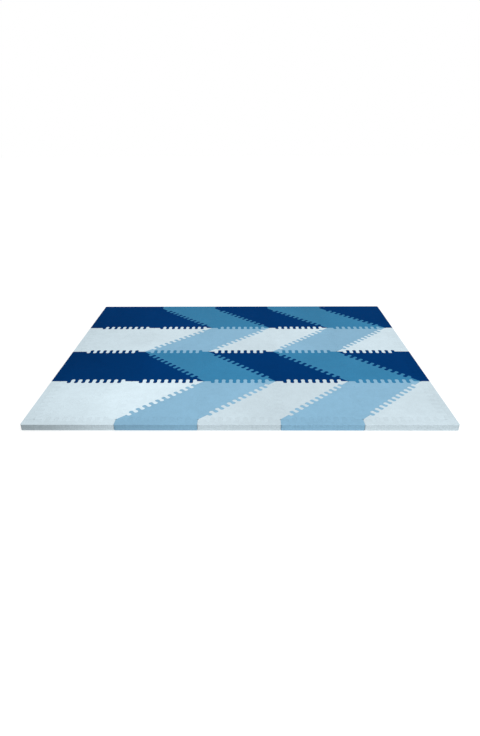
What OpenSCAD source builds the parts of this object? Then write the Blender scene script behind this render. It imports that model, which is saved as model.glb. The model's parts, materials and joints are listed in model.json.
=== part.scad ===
// Interlocking foam floor mat.
// Triangle tiles press together along toothed sides and lie inside a border of edge strips.
// Origin: middle of the mat, on the floor. X runs along the mat, Y to its back, Z up.

/* [Mat] */
// Squares along the mat, each made of two triangle tiles
columns = 5; // [2:1:5]
// Squares across the mat
rows = 4; // [2:1:4]
// Side of one square
square = 340; // [320:5:400]
// Width of the border strips
border = 42; // [36:1:60]
// Thickness of the foam
thickness = 27; // [10:1:40]
// Radius of the four outer corners of the mat
corner_r = 7; // [2:1:20]

/* [Teeth] */
// Teeth on a straight side of a tile
side_teeth = 8; // [4:1:8]
// Teeth on the long diagonal side of a tile
diagonal_teeth = 11; // [6:1:11]
// Length of one tooth and the notch beside it, measured along the joint
tooth_pitch = 34; // [24:0.5:35]
// Height of a tooth above the bottom of the notch beside it, on a straight side
side_depth = 38; // [16:1:38]
// The same height on a long diagonal side
diagonal_depth = 29; // [16:1:34]
// How far the head of a tooth swells past its neck, as a share of the pitch
tooth_flare = 0.14; // [0.08:0.01:0.16]
// Roundness of the head of a tooth, from blunt to round
tooth_roundness = 0.8; // [0.6:0.05:1]
// Clear gap between two neighbouring pieces
gap = 0.3; // [0.2:0.05:0.6]

/* [Colours] */
// Main colour of the rows that lean right
pale_main = "#d0e0e8"; // [#d0e0e8, #f2efe6, #e6e6e6]
// Accent colour of the rows that lean right
pale_accent = "#8ab7d2"; // [#8ab7d2, #e8b7a0, #b9c7b0]
// Main colour of the rows that lean left
deep_main = "#00366e"; // [#00366e, #4a4a4a, #6b3a3a]
// Accent colour of the rows that lean left
deep_accent = "#3d83ab"; // [#3d83ab, #8c8c8c, #a86a5a]

/* [Hidden] */
// Points on one tooth and its notch
wave_points = 10;
// Points on one rounded outer corner
corner_points = 6;
mat_length = columns * square + 2 * border;
mat_width = rows * square + 2 * border;

// The two triangles of a square, by the side of the diagonal they lie on
HALVES = ["left", "right"];
// Each border strip: the mat's side, and the row or column it runs beside
STRIPS = [
    for (c = [1 : columns]) ["front", c],
    for (c = [1 : columns]) ["back", c],
    for (r = [1 : rows]) ["left", r],
    for (r = [1 : rows]) ["right", r]
];

// ---- Names ----

// Rows count from the front of the mat and columns from its left
function tile_name(r, c, half) = str("tile_row", r, "_col", c, "_", half);

function runs_along(strip) = strip[0] == "front" || strip[0] == "back";
function at_left_corner(strip) = runs_along(strip) && strip[1] == 1;
function at_right_corner(strip) = runs_along(strip) && strip[1] == columns;

function strip_name(strip) =
    at_left_corner(strip) ? str("corner_edge_", strip[0], "_left")
    : at_right_corner(strip) ? str("corner_edge_", strip[0], "_right")
    : runs_along(strip) ? str("edge_", strip[0], "_col", strip[1])
    : str("edge_", strip[0], "_row", strip[1]);

// ---- Colours ----

// Rows lean right and left in turn, starting with right at the front
function leans_right(r) = r % 2 == 1;

// Triangles along a row take the accent colour in pairs that make leaning parallelograms.
// A triangle left alone at the start of the row keeps the main colour.
function is_accent(c, half) =
    let (place = 2 * (c - 1) + (half == "right" ? 1 : 0))
    place > 0 && (place + 1) % 4 < 2;

function tile_colour(r, c, half) =
    leans_right(r)
    ? (is_accent(c, half) ? pale_accent : pale_main)
    : (is_accent(c, half) ? deep_accent : deep_main);

// A strip takes the colour of the tile it joins
function strip_colour(strip) =
    strip[0] == "front" ? tile_colour(1, strip[1], leans_right(1) ? "right" : "left")
    : strip[0] == "back" ? tile_colour(rows, strip[1], leans_right(rows) ? "left" : "right")
    : strip[0] == "left" ? tile_colour(strip[1], 1, "left")
    : tile_colour(strip[1], columns, "right");

// ---- Outlines, walked anticlockwise ----

// Unit vector that points out of the side from a to b
function outward(a, b) = let (u = (b - a) / norm(b - a)) [u.y, -u.x];

// A point of the joint line: share 0 to 0.5 runs round a tooth, 0.5 to 1 round a notch
function wave(share, depth) = [
    tooth_pitch * (share - tooth_flare * sin(720 * share)),
    depth / 2 * sign(sin(360 * share)) * pow(abs(sin(360 * share)), tooth_roundness)
];

// The side from a to b with its teeth in the middle. Half a turn about the middle of the side
// gives the same line, so any two equal sides fit each other.
function toothed_side(a, b) =
    let (
        is_diagonal = norm(b - a) > 1.2 * square,
        teeth = is_diagonal ? diagonal_teeth : side_teeth,
        depth = is_diagonal ? diagonal_depth : side_depth,
        ahead = (b - a) / norm(b - a),
        first = (norm(b - a) - teeth * tooth_pitch) / 2
    )
    [
        a,
        for (i = [0 : teeth - 1], k = [0 : wave_points - 1])
            let (p = wave(k / wave_points, depth))
            a + ahead * (first + i * tooth_pitch + p.x) + outward(a, b) * p.y,
        b - ahead * first
    ];

// The outline with every side moved inward by d
function inset(outline, d) =
    let (n = len(outline))
    [
        for (i = [0 : n - 1])
            let (
                before = outward(outline[(i + n - 1) % n], outline[i]),
                after = outward(outline[i], outline[(i + 1) % n])
            )
            outline[i] - (before + after) * d / (1 + before * after)
    ];

function tile_corners(r, c, half) =
    let (
        x = (c - 1 - columns / 2) * square,
        y = (r - 1 - rows / 2) * square,
        front_left = [x, y],
        front_right = [x + square, y],
        back_left = [x, y + square],
        back_right = [x + square, y + square]
    )
    leans_right(r)
    ? (half == "left" ? [front_left, back_right, back_left] : [front_left, front_right, back_right])
    : (half == "left" ? [front_left, front_right, back_left] : [front_right, back_right, back_left]);

function tile_outline(corners) = [
    for (i = [0 : 2]) each toothed_side(corners[i], corners[(i + 1) % 3])
];

// A rounded outer corner about its centre, starting at the given angle
function corner_arc(centre, start) = [
    for (i = [0 : corner_points])
        let (angle = start + 90 * i / corner_points)
        centre + corner_r * [cos(angle), sin(angle)]
];

// A strip lying along X in front of the line y = 0, with its teeth on that line.
// Each end can run on to fill a corner of the mat.
function strip_outline(fills_left, fills_right) =
    let (
        end = square / 2,
        left = end + (fills_left ? border : 0),
        right = end + (fills_right ? border : 0)
    )
    [
        each fills_left
            ? corner_arc([corner_r - left, corner_r - border], 180)
            : [[-left, -border]],
        each fills_right
            ? corner_arc([right - corner_r, corner_r - border], 270)
            : [[right, -border]],
        if (fills_right) [right, 0],
        each toothed_side([end, 0], [-end, 0]),
        [-left, 0]
    ];

// ---- Pieces ----

module slab(outline) {
    linear_extrude(thickness) polygon(inset(outline, gap / 2));
}

module tile(r, c, half) {
    color(tile_colour(r, c, half)) slab(tile_outline(tile_corners(r, c, half)));
}

// A strip's turn about Z, and how far along its side of the mat it lies
function strip_turn(strip) =
    strip[0] == "front" ? 0 : strip[0] == "right" ? 90 : strip[0] == "back" ? 180 : 270;

function strip_place(strip) =
    let (
        along = (strip[1] - 1 / 2 - (runs_along(strip) ? columns : rows) / 2) * square,
        out = (runs_along(strip) ? mat_width : mat_length) / 2 - border
    )
    strip[0] == "front" ? [along, -out]
    : strip[0] == "back" ? [along, out]
    : strip[0] == "left" ? [-out, along]
    : [out, along];

module edge_strip(strip) {
    faces_back = strip[0] == "back";
    fills_left = faces_back ? at_right_corner(strip) : at_left_corner(strip);
    fills_right = faces_back ? at_left_corner(strip) : at_right_corner(strip);
    color(strip_colour(strip))
        translate(strip_place(strip))
        rotate(strip_turn(strip))
        slab(strip_outline(fills_left, fills_right));
}

for (r = [1 : rows], c = [1 : columns], half = HALVES)
    tile(r, c, half);

for (strip = STRIPS)
    edge_strip(strip);
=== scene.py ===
import functools
import json
import math

import bpy
import numpy as np
from mathutils import Matrix, Vector, noise
from mathutils.geometry import delaunay_2d_cdt


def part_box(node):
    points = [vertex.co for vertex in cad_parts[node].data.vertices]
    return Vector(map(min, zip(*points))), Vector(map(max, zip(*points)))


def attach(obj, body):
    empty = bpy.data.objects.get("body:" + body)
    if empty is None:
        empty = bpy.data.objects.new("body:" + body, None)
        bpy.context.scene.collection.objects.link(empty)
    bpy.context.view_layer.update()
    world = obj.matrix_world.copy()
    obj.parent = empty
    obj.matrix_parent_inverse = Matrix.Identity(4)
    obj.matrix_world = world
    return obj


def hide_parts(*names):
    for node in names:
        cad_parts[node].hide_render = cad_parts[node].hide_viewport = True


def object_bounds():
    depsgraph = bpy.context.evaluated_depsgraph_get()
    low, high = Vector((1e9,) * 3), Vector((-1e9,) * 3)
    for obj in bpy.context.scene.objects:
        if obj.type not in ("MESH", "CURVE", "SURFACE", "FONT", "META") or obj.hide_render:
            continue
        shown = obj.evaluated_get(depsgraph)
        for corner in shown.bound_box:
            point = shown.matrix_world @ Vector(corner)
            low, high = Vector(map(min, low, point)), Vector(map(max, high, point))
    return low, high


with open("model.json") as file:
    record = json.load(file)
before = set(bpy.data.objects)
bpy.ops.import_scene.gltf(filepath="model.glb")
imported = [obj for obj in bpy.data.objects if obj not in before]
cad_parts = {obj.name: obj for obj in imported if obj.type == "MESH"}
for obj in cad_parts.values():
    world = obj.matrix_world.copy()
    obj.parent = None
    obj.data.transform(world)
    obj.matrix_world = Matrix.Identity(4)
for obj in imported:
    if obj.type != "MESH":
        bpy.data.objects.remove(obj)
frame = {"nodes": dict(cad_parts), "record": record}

# The looks of an interlocking foam floor mat. Every piece is rebuilt from the outline of its CAD
# node as a slab of soft foam: smooth teeth, rounded edges, cut walls and a slightly uneven skin.
# Lengths are in metres.

cad_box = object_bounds()
MM = 0.001
THICKNESS = cad_box[1][2] - cad_box[0][2]

# ---- Camera ----

CAMERA_AT = (0.0256, -2.4852, 1.1467)
CAMERA_DOWN = math.radians(26.09)
CAMERA_TURN = math.radians(0.662)
CAMERA_ROLL = math.radians(-0.318)
LENS_MM = 25.09
SENSOR_MM = 36
CAMERA_SEES_TO = 100


def make_camera():
    data = bpy.data.cameras.new("camera")
    data.sensor_width = SENSOR_MM
    data.lens = LENS_MM
    data.clip_end = CAMERA_SEES_TO
    camera = bpy.data.objects.new("camera", data)
    bpy.context.scene.collection.objects.link(camera)
    aim = Matrix.Rotation(CAMERA_TURN, 4, "Z")
    aim = aim @ Matrix.Rotation(math.pi / 2 - CAMERA_DOWN, 4, "X")
    aim = aim @ Matrix.Rotation(CAMERA_ROLL, 4, "Z")
    camera.matrix_world = Matrix.Translation(CAMERA_AT) @ aim
    bpy.context.scene.camera = camera


make_camera()

# ---- Foam pieces ----

# CAD corners are matched to this many decimals of a metre
CORNER_DIGITS = 6
# A CAD face this close to the top of its piece belongs to the top face
TOP_TOLERANCE = 0.1 * MM
# Edges longer than this in a CAD outline are straight; shorter ones are chords of a curve
STRAIGHT_FROM = 12 * MM
# Spacing of the points on a refined outline
STEP = 2.4 * MM
# How often each point is averaged with its neighbours, which takes the sharpness off the corners
SOFTENING = 1
# How far the soft foam swells past its CAD outline: neighbours press almost shut
SWELL = 0.1 * MM
# Radius of the rounded top and bottom edges, the steps of each rounding, and the width of the
# flat ring inside it
TOP_ROUND = 0.25 * MM
FOOT_ROUND = 0.4 * MM
ROUND_STEPS = 3
RING = 0.5 * MM
# How strongly the foot's rounded edge takes the rim's painted highlight and scuff marks, beside 1
# at the top edge
FOOT_RIM = 0.5
# How deep the die leaves the middle of a cut wall, which springs back hollow
WALL_DISH = 0.3 * MM
# How far an outline moves inward at a time
INSET_STEP = 0.35 * MM
# Spacing of the points inside a top face, and how near the outline they come
GRID = 11 * MM
GRID_CLEARANCE = 0.45 * GRID
# When a face is triangulated: points closer than this are joined, and only triangles inside the
# border are kept
JOIN_WITHIN = 1e-9
KEEP_INSIDE = 1
# A top face is crowned: its edge lies this far down and the rise fades out over this distance
EDGE_DROP = 0.3 * MM
EDGE_FADE = 7 * MM
# Depth and size of the shallow hollows in a top face, and how far from the edge they set in
HOLLOW_DEPTH = 0.3 * MM
HOLLOW_SIZE = 90 * MM
HOLLOW_FADE = 20 * MM


def cad_outline(node):
    """The CAD node's outline in plan, anticlockwise: the border of its top face."""
    mesh = frame["nodes"][node].data
    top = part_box(node)[1].z
    follows = {}
    for face in mesh.polygons:
        corners = [mesh.vertices[i].co for i in face.vertices]
        if min(c.z for c in corners) < top - TOP_TOLERANCE:
            continue
        keys = [(round(c.x, CORNER_DIGITS), round(c.y, CORNER_DIGITS)) for c in corners]
        for a, b in zip(keys, keys[1:] + keys[:1]):
            if a in follows.get(b, ()):
                follows[b].remove(a)
            else:
                follows.setdefault(a, []).append(b)
    start = min(a for a, after in follows.items() if after)
    outline = [start]
    while True:
        after = follows[outline[-1]][0]
        if after == start:
            return np.array(outline)
        outline.append(after)


def refined(outline):
    """The outline with its short chords turned into a smooth curve, and evenly spaced points."""
    count = len(outline)
    lengths = np.linalg.norm(np.roll(outline, -1, 0) - outline, axis=1)
    points = []
    for i in range(count):
        a, b = outline[i], outline[(i + 1) % count]
        steps = max(1, round(lengths[i] / STEP))
        shares = np.arange(steps)[:, None] / steps
        if lengths[i] > STRAIGHT_FROM:
            points.append(a + (b - a) * shares)
            continue
        straight_before = lengths[i - 1] > STRAIGHT_FROM
        straight_after = lengths[(i + 1) % count] > STRAIGHT_FROM
        before = 2 * a - b if straight_before else outline[i - 1]
        after = 2 * b - a if straight_after else outline[(i + 2) % count]
        points.append(catmull_rom(before, a, b, after, shares))
    dense = np.concatenate(points)
    for _ in range(SOFTENING):
        dense = (np.roll(dense, 1, 0) + 2 * dense + np.roll(dense, -1, 0)) / 4
    return inset(dense, -SWELL)


def catmull_rom(before, a, b, after, shares):
    """Points on the smooth curve from a to b."""
    t = shares
    return 0.5 * (
        2 * a
        + (b - before) * t
        + (2 * before - 5 * a + 4 * b - after) * t ** 2
        + (3 * a - before - 3 * b + after) * t ** 3
    )


def inset(outline, distance):
    """The outline moved inward in small steps, each eased so that tight corners never fold."""
    steps = math.ceil(abs(distance) / INSET_STEP)
    for _ in range(steps):
        edge = np.roll(outline, -1, 0) - outline
        edge /= np.linalg.norm(edge, axis=1)[:, None]
        after = np.stack([-edge[:, 1], edge[:, 0]], 1)
        before = np.roll(after, 1, 0)
        share = np.maximum(1 + (before * after).sum(1), 1)
        outline = outline + (before + after) * (distance / steps / share)[:, None]
        outline = (np.roll(outline, 1, 0) + 2 * outline + np.roll(outline, -1, 0)) / 4
    return outline


def is_inside(points, outline):
    """For each point, whether it lies inside the outline."""
    x, y = points[:, :1], points[:, 1:]
    ax, ay = outline[:, 0][None], outline[:, 1][None]
    bx, by = np.roll(ax, -1, 1), np.roll(ay, -1, 1)
    crosses = (ay > y) != (by > y)
    slope = (bx - ax) / np.where(by == ay, 1, by - ay)
    return (crosses & (x < ax + slope * (y - ay))).sum(1) % 2 == 1


def distance_to(points, outline):
    """For each point, how far the nearest point of the outline lies."""
    gaps = points[:, None, :] - outline[None, :, :]
    return np.sqrt((gaps ** 2).sum(2).min(1))


def grid_inside(outline):
    """Staggered rows of points that fill the outline, clear of its edge."""
    low, high = outline.min(0), outline.max(0)
    rows = np.arange(low[1], high[1], GRID * math.sqrt(3) / 2)
    points = []
    for i, y in enumerate(rows):
        xs = np.arange(low[0] + (i % 2) * GRID / 2, high[0], GRID)
        points.append(np.stack([xs, np.full(len(xs), y)], 1))
    points = np.concatenate(points)
    points = points[is_inside(points, outline)]
    return points[distance_to(points, outline) > GRID_CLEARANCE]


def triangulated(outline, inner):
    """Triangles that fill the outline through the inner points, numbered after the outline's."""
    both = np.concatenate([outline, inner]) if len(inner) else outline
    count = len(outline)
    border = [(i, (i + 1) % count) for i in range(count)]
    points, _, faces, _, _, _ = delaunay_2d_cdt(
        [Vector(p) for p in both], border, [], KEEP_INSIDE, JOIN_WITHIN
    )
    if len(points) != len(both):
        raise ValueError("the triangulation changed the outline")
    return faces


def sunk(points, outline, offset):
    """How far each point of a crowned and uneven top face lies below the slab's full height."""
    waves = np.array(
        [0.5 + 0.5 * noise.noise(Vector((*(p / HOLLOW_SIZE), offset))) for p in points]
    )
    inward = distance_to(points, outline)
    crown = EDGE_DROP * np.exp(-inward / EDGE_FADE)
    return crown + HOLLOW_DEPTH * waves.clip(0, 1) * (1 - np.exp(-inward / HOLLOW_FADE))


def rounded_rings(outline, radius):
    """Rings that round an edge, from the wall inward: points, rise past the first ring, and
    how far the surface has turned from upright to flat, from 0 to 1. The last ring lies flat,
    RING further in, so that the face inside it shades flat."""
    rings = []
    ring, reached = outline, 0.0
    for k in range(ROUND_STEPS + 1):
        angle = math.pi / 2 * k / ROUND_STEPS
        wanted = radius * (1 - math.cos(angle))
        ring = inset(ring, wanted - reached)
        reached = wanted
        rings.append((ring, radius * math.sin(angle), k / ROUND_STEPS))
    rings.append((inset(ring, RING), radius, 1.0))
    return rings


def foam_slab(name, outline, thickness, offset):
    """A closed slab of foam with that outline, rounded at the top and the foot. Its points carry
    cut, which is 1 on the wall and 0 on the skin, and rim, which is 1 on the rounded top edge,
    where the material paints a highlight and adds scuff marks."""
    count = len(outline)
    points, cut, rim = [], [], []

    def add_ring(ring, height, cut_share, rim_share):
        points.append(np.column_stack([ring, np.full(count, height)]))
        cut.extend([cut_share] * count)
        rim.extend([rim_share] * count)

    edge_height = thickness - EDGE_DROP
    foot_rings = rounded_rings(outline, FOOT_ROUND)
    top_rings = rounded_rings(outline, TOP_ROUND)
    for ring, rise, turned in reversed(foot_rings):
        add_ring(ring, FOOT_ROUND - rise, 1 - turned, FOOT_RIM)
    add_ring(inset(outline, WALL_DISH), edge_height / 2, 1.0, 0.0)
    for ring, rise, turned in top_rings:
        add_ring(ring, edge_height - TOP_ROUND + rise, 1 - turned, 1.0)
    # The flat rings at the foot and the top take no painted rim highlight
    rim[:count] = [0.0] * count
    rim[-count:] = [0.0] * count

    faces = []
    for low in range(0, (len(points) - 1) * count, count):
        for i in range(count):
            j = (i + 1) % count
            faces.append((low + i, low + j, low + count + j, low + count + i))
    for face in triangulated(foot_rings[-1][0], []):
        faces.append(tuple(reversed(face)))
    top = top_rings[-1][0]
    inner = grid_inside(top)
    heights = thickness - sunk(inner, top, offset)
    last_ring = (len(points) - 1) * count
    points.append(np.column_stack([inner, heights]))
    cut.extend([0.0] * len(inner))
    rim.extend([0.0] * len(inner))
    for face in triangulated(top, inner):
        faces.append(tuple(last_ring + i for i in face))

    mesh = bpy.data.meshes.new(name)
    mesh.from_pydata(np.concatenate(points).tolist(), [], faces)
    mesh.validate()
    mesh.shade_smooth()
    for label, values in (("cut", cut), ("rim", rim)):
        attribute = mesh.attributes.new(label, "FLOAT", "POINT")
        attribute.data.foreach_set("value", values)
    return mesh


# ---- Foam materials ----

# Base colours, linear, and how much of a mirror each skin is
COLOURS = {
    "ice_white": (0.562, 0.670, 0.727),
    "light_blue": (0.225, 0.417, 0.571),
    "mid_blue": (0.0338, 0.190, 0.353),
    "navy": (0.0004, 0.0316, 0.1350),
}
SPECULAR = {"ice_white": 0.05, "light_blue": 0.04, "mid_blue": 0.02, "navy": 0.002}
# How bright a cut wall is beside the skin, which is painted shade that darkens the upright walls,
# and how much paler it is at the foot than at the top, which is painted light bounced from the
# floor
WALL_PAINTED_SHADE = 0.515
WALL_PAINTED_BOUNCE = 0.2
# How much paler the skin is along the rounded edges, a painted highlight, and where it is scuffed
RIM_HIGHLIGHT = 0.03
SCUFF_TONE = 0.05
# How many of each feature there are along a metre
CLOUDS = 5
BLOTCHES = 30
MOTTLES = 160
PORES = 190
DRAG_MARKS = 420
DIMPLES = 520
CELLS = 1300
# How much more slowly drag marks change up the wall than along it
DRAG_SLOWDOWN = 0.06
# Noise stays mostly between these two values
NOISE_LOW, NOISE_HIGH = 0.3, 0.7
# How far each kind of noise takes the tone up and down
CLOUD_SPREAD = 0.035
BLOTCH_SPREAD = 0.025
MOTTLE_SPREAD = 0.035
WALL_MOTTLE_SPREAD = 0.04
DRAG_SPREAD = 0.06
# Dimples, pores and cells are scattered points, and the distance from one is measured in shares
# of their spacing. It reaches this at the border between two.
BORDER = 0.8
# Tones at the middle and the border of a dimple, whose darker border is painted shade in the
# relief, and of an open cell of the wall, and the distances where each begins
DIMPLE_SHADE_TONES = (1.045, 0.935)
DIMPLE_SPAN = (0.1, 0.6)
CELL_TONES = (0.78, 1.2)
CELL_SPAN = (0, 0.7)
# Tone at the middle of a pore, which is painted shade in the pit, and the pore's radius
PORE_SHADE_TONE = 0.84
PORE_REACH = 0.16
# Noise values between which the scuffs set in
SCUFF_SPAN = (0.4, 0.7)
# How far the foam rises from the middle of a dimple, a pore and an open cell to its rim, beside
# the rise of the noise; then the height of one such unit and how strongly it shows
DIMPLE_RISE = 1.0
PORE_RISE = 1.5
CELL_RISE = 1.6
RELIEF = 0.3 * MM
RELIEF_STRENGTH = 0.8
SKIN_ROUGHNESS = (0.62, 0.76)
WALL_ROUGHNESS = 0.95


class Nodes:
    """Short ways to add and link a material's nodes."""

    def __init__(self, material):
        self.tree = material.node_tree
        self.tree.nodes.clear()

    def add(self, kind, **inputs):
        node = self.tree.nodes.new(kind)
        for label, value in inputs.items():
            self.put(node.inputs[label.replace("_", " ")], value)
        return node

    def put(self, socket, value):
        if isinstance(value, bpy.types.NodeSocket):
            self.tree.links.new(value, socket)
        else:
            socket.default_value = value

    def math(self, operation, a, b):
        node = self.tree.nodes.new("ShaderNodeMath")
        node.operation = operation
        self.put(node.inputs[0], a)
        self.put(node.inputs[1], b)
        return node.outputs[0]

    def product(self, *values):
        return functools.reduce(lambda a, b: self.math("MULTIPLY", a, b), values)

    def total(self, *values):
        return functools.reduce(lambda a, b: self.math("ADD", a, b), values)

    def blend(self, share, a, b):
        """a where share is 0 and b where it is 1."""
        node = self.tree.nodes.new("ShaderNodeMix")
        self.put(node.inputs["Factor"], share)
        self.put(node.inputs["A"], a)
        self.put(node.inputs["B"], b)
        return node.outputs["Result"]

    def ranged(self, value, low, high, to_low, to_high):
        """to_low where value is low or less, to_high where it is high or more."""
        node = self.add("ShaderNodeMapRange", Value=value)
        node.inputs["From Min"].default_value = low
        node.inputs["From Max"].default_value = high
        node.inputs["To Min"].default_value = to_low
        node.inputs["To Max"].default_value = to_high
        return node.outputs["Result"]

    def varied(self, value, spread):
        """A tone that noise takes from 1 - spread to 1 + spread."""
        return self.ranged(value, NOISE_LOW, NOISE_HIGH, 1 - spread, 1 + spread)

    def noise(self, place, scale, detail):
        return self.add(
            "ShaderNodeTexNoise", Vector=place, Scale=scale, Detail=detail
        ).outputs["Fac"]

    def apart(self, place, scale):
        """The distance to the nearest of many scattered points, from 0 to about BORDER."""
        return self.add("ShaderNodeTexVoronoi", Vector=place, Scale=scale).outputs["Distance"]

    def attribute(self, label):
        node = self.tree.nodes.new("ShaderNodeAttribute")
        node.attribute_name = label
        return node.outputs["Fac"]


def foam_material(slot, colour):
    """Closed-cell foam: a finely dimpled skin with pores, and open cells and drag marks on the
    walls. Shade is painted into the dimples, the pores and the walls, light at the foot of the
    walls, and a highlight along the rounded edges."""
    material = bpy.data.materials.new("foam_" + slot)
    material.use_nodes = True
    n = Nodes(material)
    place = n.add("ShaderNodeTexCoord").outputs["Object"]
    upright = n.add("ShaderNodeMapping", Vector=place, Scale=(1, 1, DRAG_SLOWDOWN)).outputs[0]
    cut = n.attribute("cut")
    rim = n.attribute("rim")
    shade = n.attribute("shade")

    clouds = n.noise(place, scale=CLOUDS, detail=3)
    blotches = n.noise(place, scale=BLOTCHES, detail=4)
    mottle = n.noise(place, scale=MOTTLES, detail=4)
    drag = n.noise(upright, scale=DRAG_MARKS, detail=2)
    dimples = n.apart(place, scale=DIMPLES)
    pores = n.apart(place, scale=PORES)
    cells = n.apart(place, scale=CELLS)

    # The skin's tone varies at random, with painted shade in the dimpled relief and the pores
    skin_tone_and_shade = n.product(
        n.varied(clouds, CLOUD_SPREAD),
        n.varied(blotches, BLOTCH_SPREAD),
        n.varied(mottle, MOTTLE_SPREAD),
        n.ranged(dimples, *DIMPLE_SPAN, *DIMPLE_SHADE_TONES),
        n.ranged(pores, 0, PORE_REACH, PORE_SHADE_TONE, 1),
    )
    level = n.add("ShaderNodeSeparateXYZ", Vector=place).outputs["Z"]
    # Painted shade on the walls, darkest under the top edge, with painted floor bounce at the
    # foot, over the cells, drag marks and mottle of the cut foam
    wall_tone_and_shade = n.product(
        n.ranged(level, 0, THICKNESS, 1 + WALL_PAINTED_BOUNCE / 2, 1 - WALL_PAINTED_BOUNCE / 2),
        n.ranged(cells, *CELL_SPAN, *(WALL_PAINTED_SHADE * tone for tone in CELL_TONES)),
        n.varied(drag, DRAG_SPREAD),
        n.varied(mottle, WALL_MOTTLE_SPREAD),
    )
    # The shade attribute holds each piece's dye batch with the painted pools of light and shade
    tone = n.product(n.blend(cut, skin_tone_and_shade, wall_tone_and_shade), shade)
    # A painted highlight along the rounded edges, with scuff marks where the mottle lets them in
    highlight_and_scuffs = n.product(rim, n.ranged(mottle, *SCUFF_SPAN, RIM_HIGHLIGHT, RIM_HIGHLIGHT + SCUFF_TONE))
    tinted = n.add("ShaderNodeVectorMath")
    tinted.operation = "SCALE"
    tinted.inputs[0].default_value = colour
    n.put(tinted.inputs["Scale"], n.math("ADD", tone, highlight_and_scuffs))

    skin_height = n.total(
        n.ranged(dimples, 0, BORDER, 0, DIMPLE_RISE),
        n.ranged(pores, 0, PORE_REACH, 0, PORE_RISE),
        mottle,
    )
    wall_height = n.total(n.ranged(cells, 0, BORDER, 0, CELL_RISE), drag)
    height = n.blend(cut, skin_height, wall_height)
    bump = n.add("ShaderNodeBump", Height=height, Strength=RELIEF_STRENGTH)
    bump.inputs["Distance"].default_value = RELIEF

    skin_roughness = n.ranged(mottle, NOISE_LOW, NOISE_HIGH, *SKIN_ROUGHNESS)
    shader = n.add(
        "ShaderNodeBsdfPrincipled",
        Base_Color=tinted.outputs[0],
        Roughness=n.blend(cut, skin_roughness, WALL_ROUGHNESS),
        Normal=bump.outputs["Normal"],
    )
    shader.inputs["Specular IOR Level"].default_value = SPECULAR[slot]
    output = n.tree.nodes.new("ShaderNodeOutputMaterial")
    n.tree.links.new(shader.outputs[0], output.inputs["Surface"])
    return material


MATERIALS = {slot: foam_material(slot, colour) for slot, colour in COLOURS.items()}

# ---- The pieces in their places ----

# Dye batches differ a little from piece to piece, and the border strips are a touch deeper
BATCH_SEED = 7
SHADE_SPREAD = 0.012
STRIP_SHADE = 0.965
# Painted pools of light and painted shade: soft patches where one colour, or every cut wall, is
# lit paler or shaded deeper, such as the painted shade on the front left corner's wall and
# towards the left end of the navy rows. Each line says what changes, the middle and radius of the
# patch, and how much brighter it is there.
PAINTED_LIGHT_AND_SHADE = [
    ("walls", (-0.86, -0.72), 0.17, -0.29),
    ("ice_white", (-0.40, -0.44), 0.26, 0.18),
    ("ice_white", (0.08, -0.54), 0.25, -0.12),
    ("ice_white", (0.80, -0.50), 0.30, -0.05),
    ("ice_white", (0.06, 0.11), 0.12, -0.06),
    ("light_blue", (-0.10, -0.50), 0.22, 0.05),
    ("light_blue", (0.50, -0.52), 0.22, -0.02),
    ("light_blue", (0.75, 0.10), 0.30, -0.10),
    ("mid_blue", (-0.06, -0.24), 0.20, 0.08),
    ("mid_blue", (0.38, -0.08), 0.14, -0.04),
    ("mid_blue", (0.40, 0.60), 0.22, -0.09),
    ("mid_blue", (-0.28, 0.60), 0.22, -0.06),
    ("navy", (-0.90, 0.15), 0.38, -0.18),
    ("navy", (-0.30, -0.18), 0.22, 0.16),
    ("navy", (-0.40, 0.45), 0.20, 0.12),
]


def shades(mesh, slot, batch):
    """How pale or deep the foam is at each of the mesh's points: its dye batch, with the painted
    pools of light and painted shade.
    """
    count = len(mesh.vertices)
    points, cut = np.empty(3 * count), np.empty(count)
    mesh.vertices.foreach_get("co", points)
    mesh.attributes["cut"].data.foreach_get("value", cut)
    plan = points.reshape(count, 3)[:, :2]
    values = np.full(count, batch)
    for where, middle, radius, change in PAINTED_LIGHT_AND_SHADE:
        if where in (slot, "walls"):
            apart = ((plan - middle) ** 2).sum(1)
            share = cut if where == "walls" else 1
            values += share * change * np.exp(-apart / (2 * radius ** 2))
    return values


def make_pieces():
    batches = np.random.default_rng(BATCH_SEED)
    for number, part in enumerate(frame["record"]["subparts"]):
        node, slot = part["node"], part["material_slot"]
        outline = refined(cad_outline(node))
        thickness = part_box(node)[1].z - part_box(node)[0].z
        mesh = foam_slab("foam_" + node, outline, thickness, float(number))
        batch = 1 + SHADE_SPREAD * batches.uniform(-1, 1)
        if not node.startswith("tile"):
            batch *= STRIP_SHADE
        # Each point's dye batch, with the painted pools of light and shade laid over it
        attribute = mesh.attributes.new("shade", "FLOAT", "POINT")
        attribute.data.foreach_set("value", shades(mesh, slot, batch))
        piece = bpy.data.objects.new("foam_" + node, mesh)
        bpy.context.scene.collection.objects.link(piece)
        mesh.materials.append(MATERIALS[slot])
        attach(piece, node)
        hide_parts(node)


make_pieces()

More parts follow.
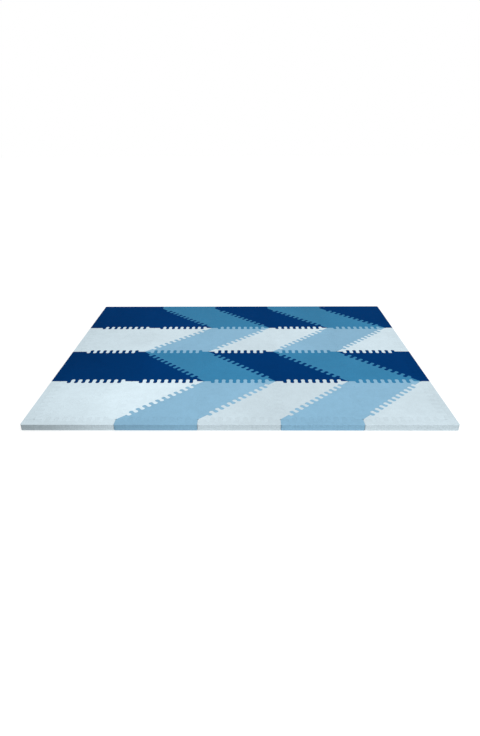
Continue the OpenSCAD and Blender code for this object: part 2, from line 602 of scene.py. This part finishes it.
# ---- Floor, light and background ----

FLOOR_SIZE = 30
FLOOR_DROP = 0.2 * MM
# The floor's own glow lifts it to the photo's white
FLOOR_GREY = 0.5
FLOOR_GLOW = 0.55


def make_floor():
    half = FLOOR_SIZE / 2
    corners = [(-half, -half), (half, -half), (half, half), (-half, half)]
    mesh = bpy.data.meshes.new("floor")
    mesh.from_pydata([(x, y, -FLOOR_DROP) for x, y in corners], [], [(0, 1, 2, 3)])
    floor = bpy.data.objects.new("floor", mesh)
    bpy.context.scene.collection.objects.link(floor)
    material = bpy.data.materials.new("floor")
    material.use_nodes = True
    shader = material.node_tree.nodes["Principled BSDF"]
    shader.inputs["Base Color"].default_value = (FLOOR_GREY, FLOOR_GREY, FLOOR_GREY, 1)
    shader.inputs["Roughness"].default_value = 1
    shader.inputs["Specular IOR Level"].default_value = 0
    shader.inputs["Emission Color"].default_value = (1, 1, 1, 1)
    shader.inputs["Emission Strength"].default_value = FLOOR_GLOW
    mesh.materials.append(material)


def add_softbox(name, at, aim, width, height, watts):
    lamp = bpy.data.lights.new(name, "AREA")
    lamp.shape = "RECTANGLE"
    lamp.size = width
    lamp.size_y = height
    lamp.energy = watts
    softbox = bpy.data.objects.new(name, lamp)
    softbox.location = at
    softbox.rotation_euler = (Vector(aim) - Vector(at)).to_track_quat("-Z", "Y").to_euler()
    softbox.visible_camera = False
    bpy.context.scene.collection.objects.link(softbox)


def make_light():
    world = bpy.data.worlds.new("studio")
    bpy.context.scene.world = world
    world.use_nodes = True
    background = world.node_tree.nodes["Background"]
    background.inputs["Color"].default_value = (1, 1, 1, 1)
    background.inputs["Strength"].default_value = 1.0
    add_softbox(
        "overhead", at=(1.0, 0.0, 2.2), aim=(1.0, 0.0, 0.0), width=2.0, height=2.0, watts=12
    )
    add_softbox(
        "front_fill", at=(0.5, -2.4, 0.15), aim=(0.4, -0.7, 0.0), width=0.8, height=0.2, watts=26
    )


make_floor()
make_light()
bpy.context.scene.view_settings.view_transform = "Standard"
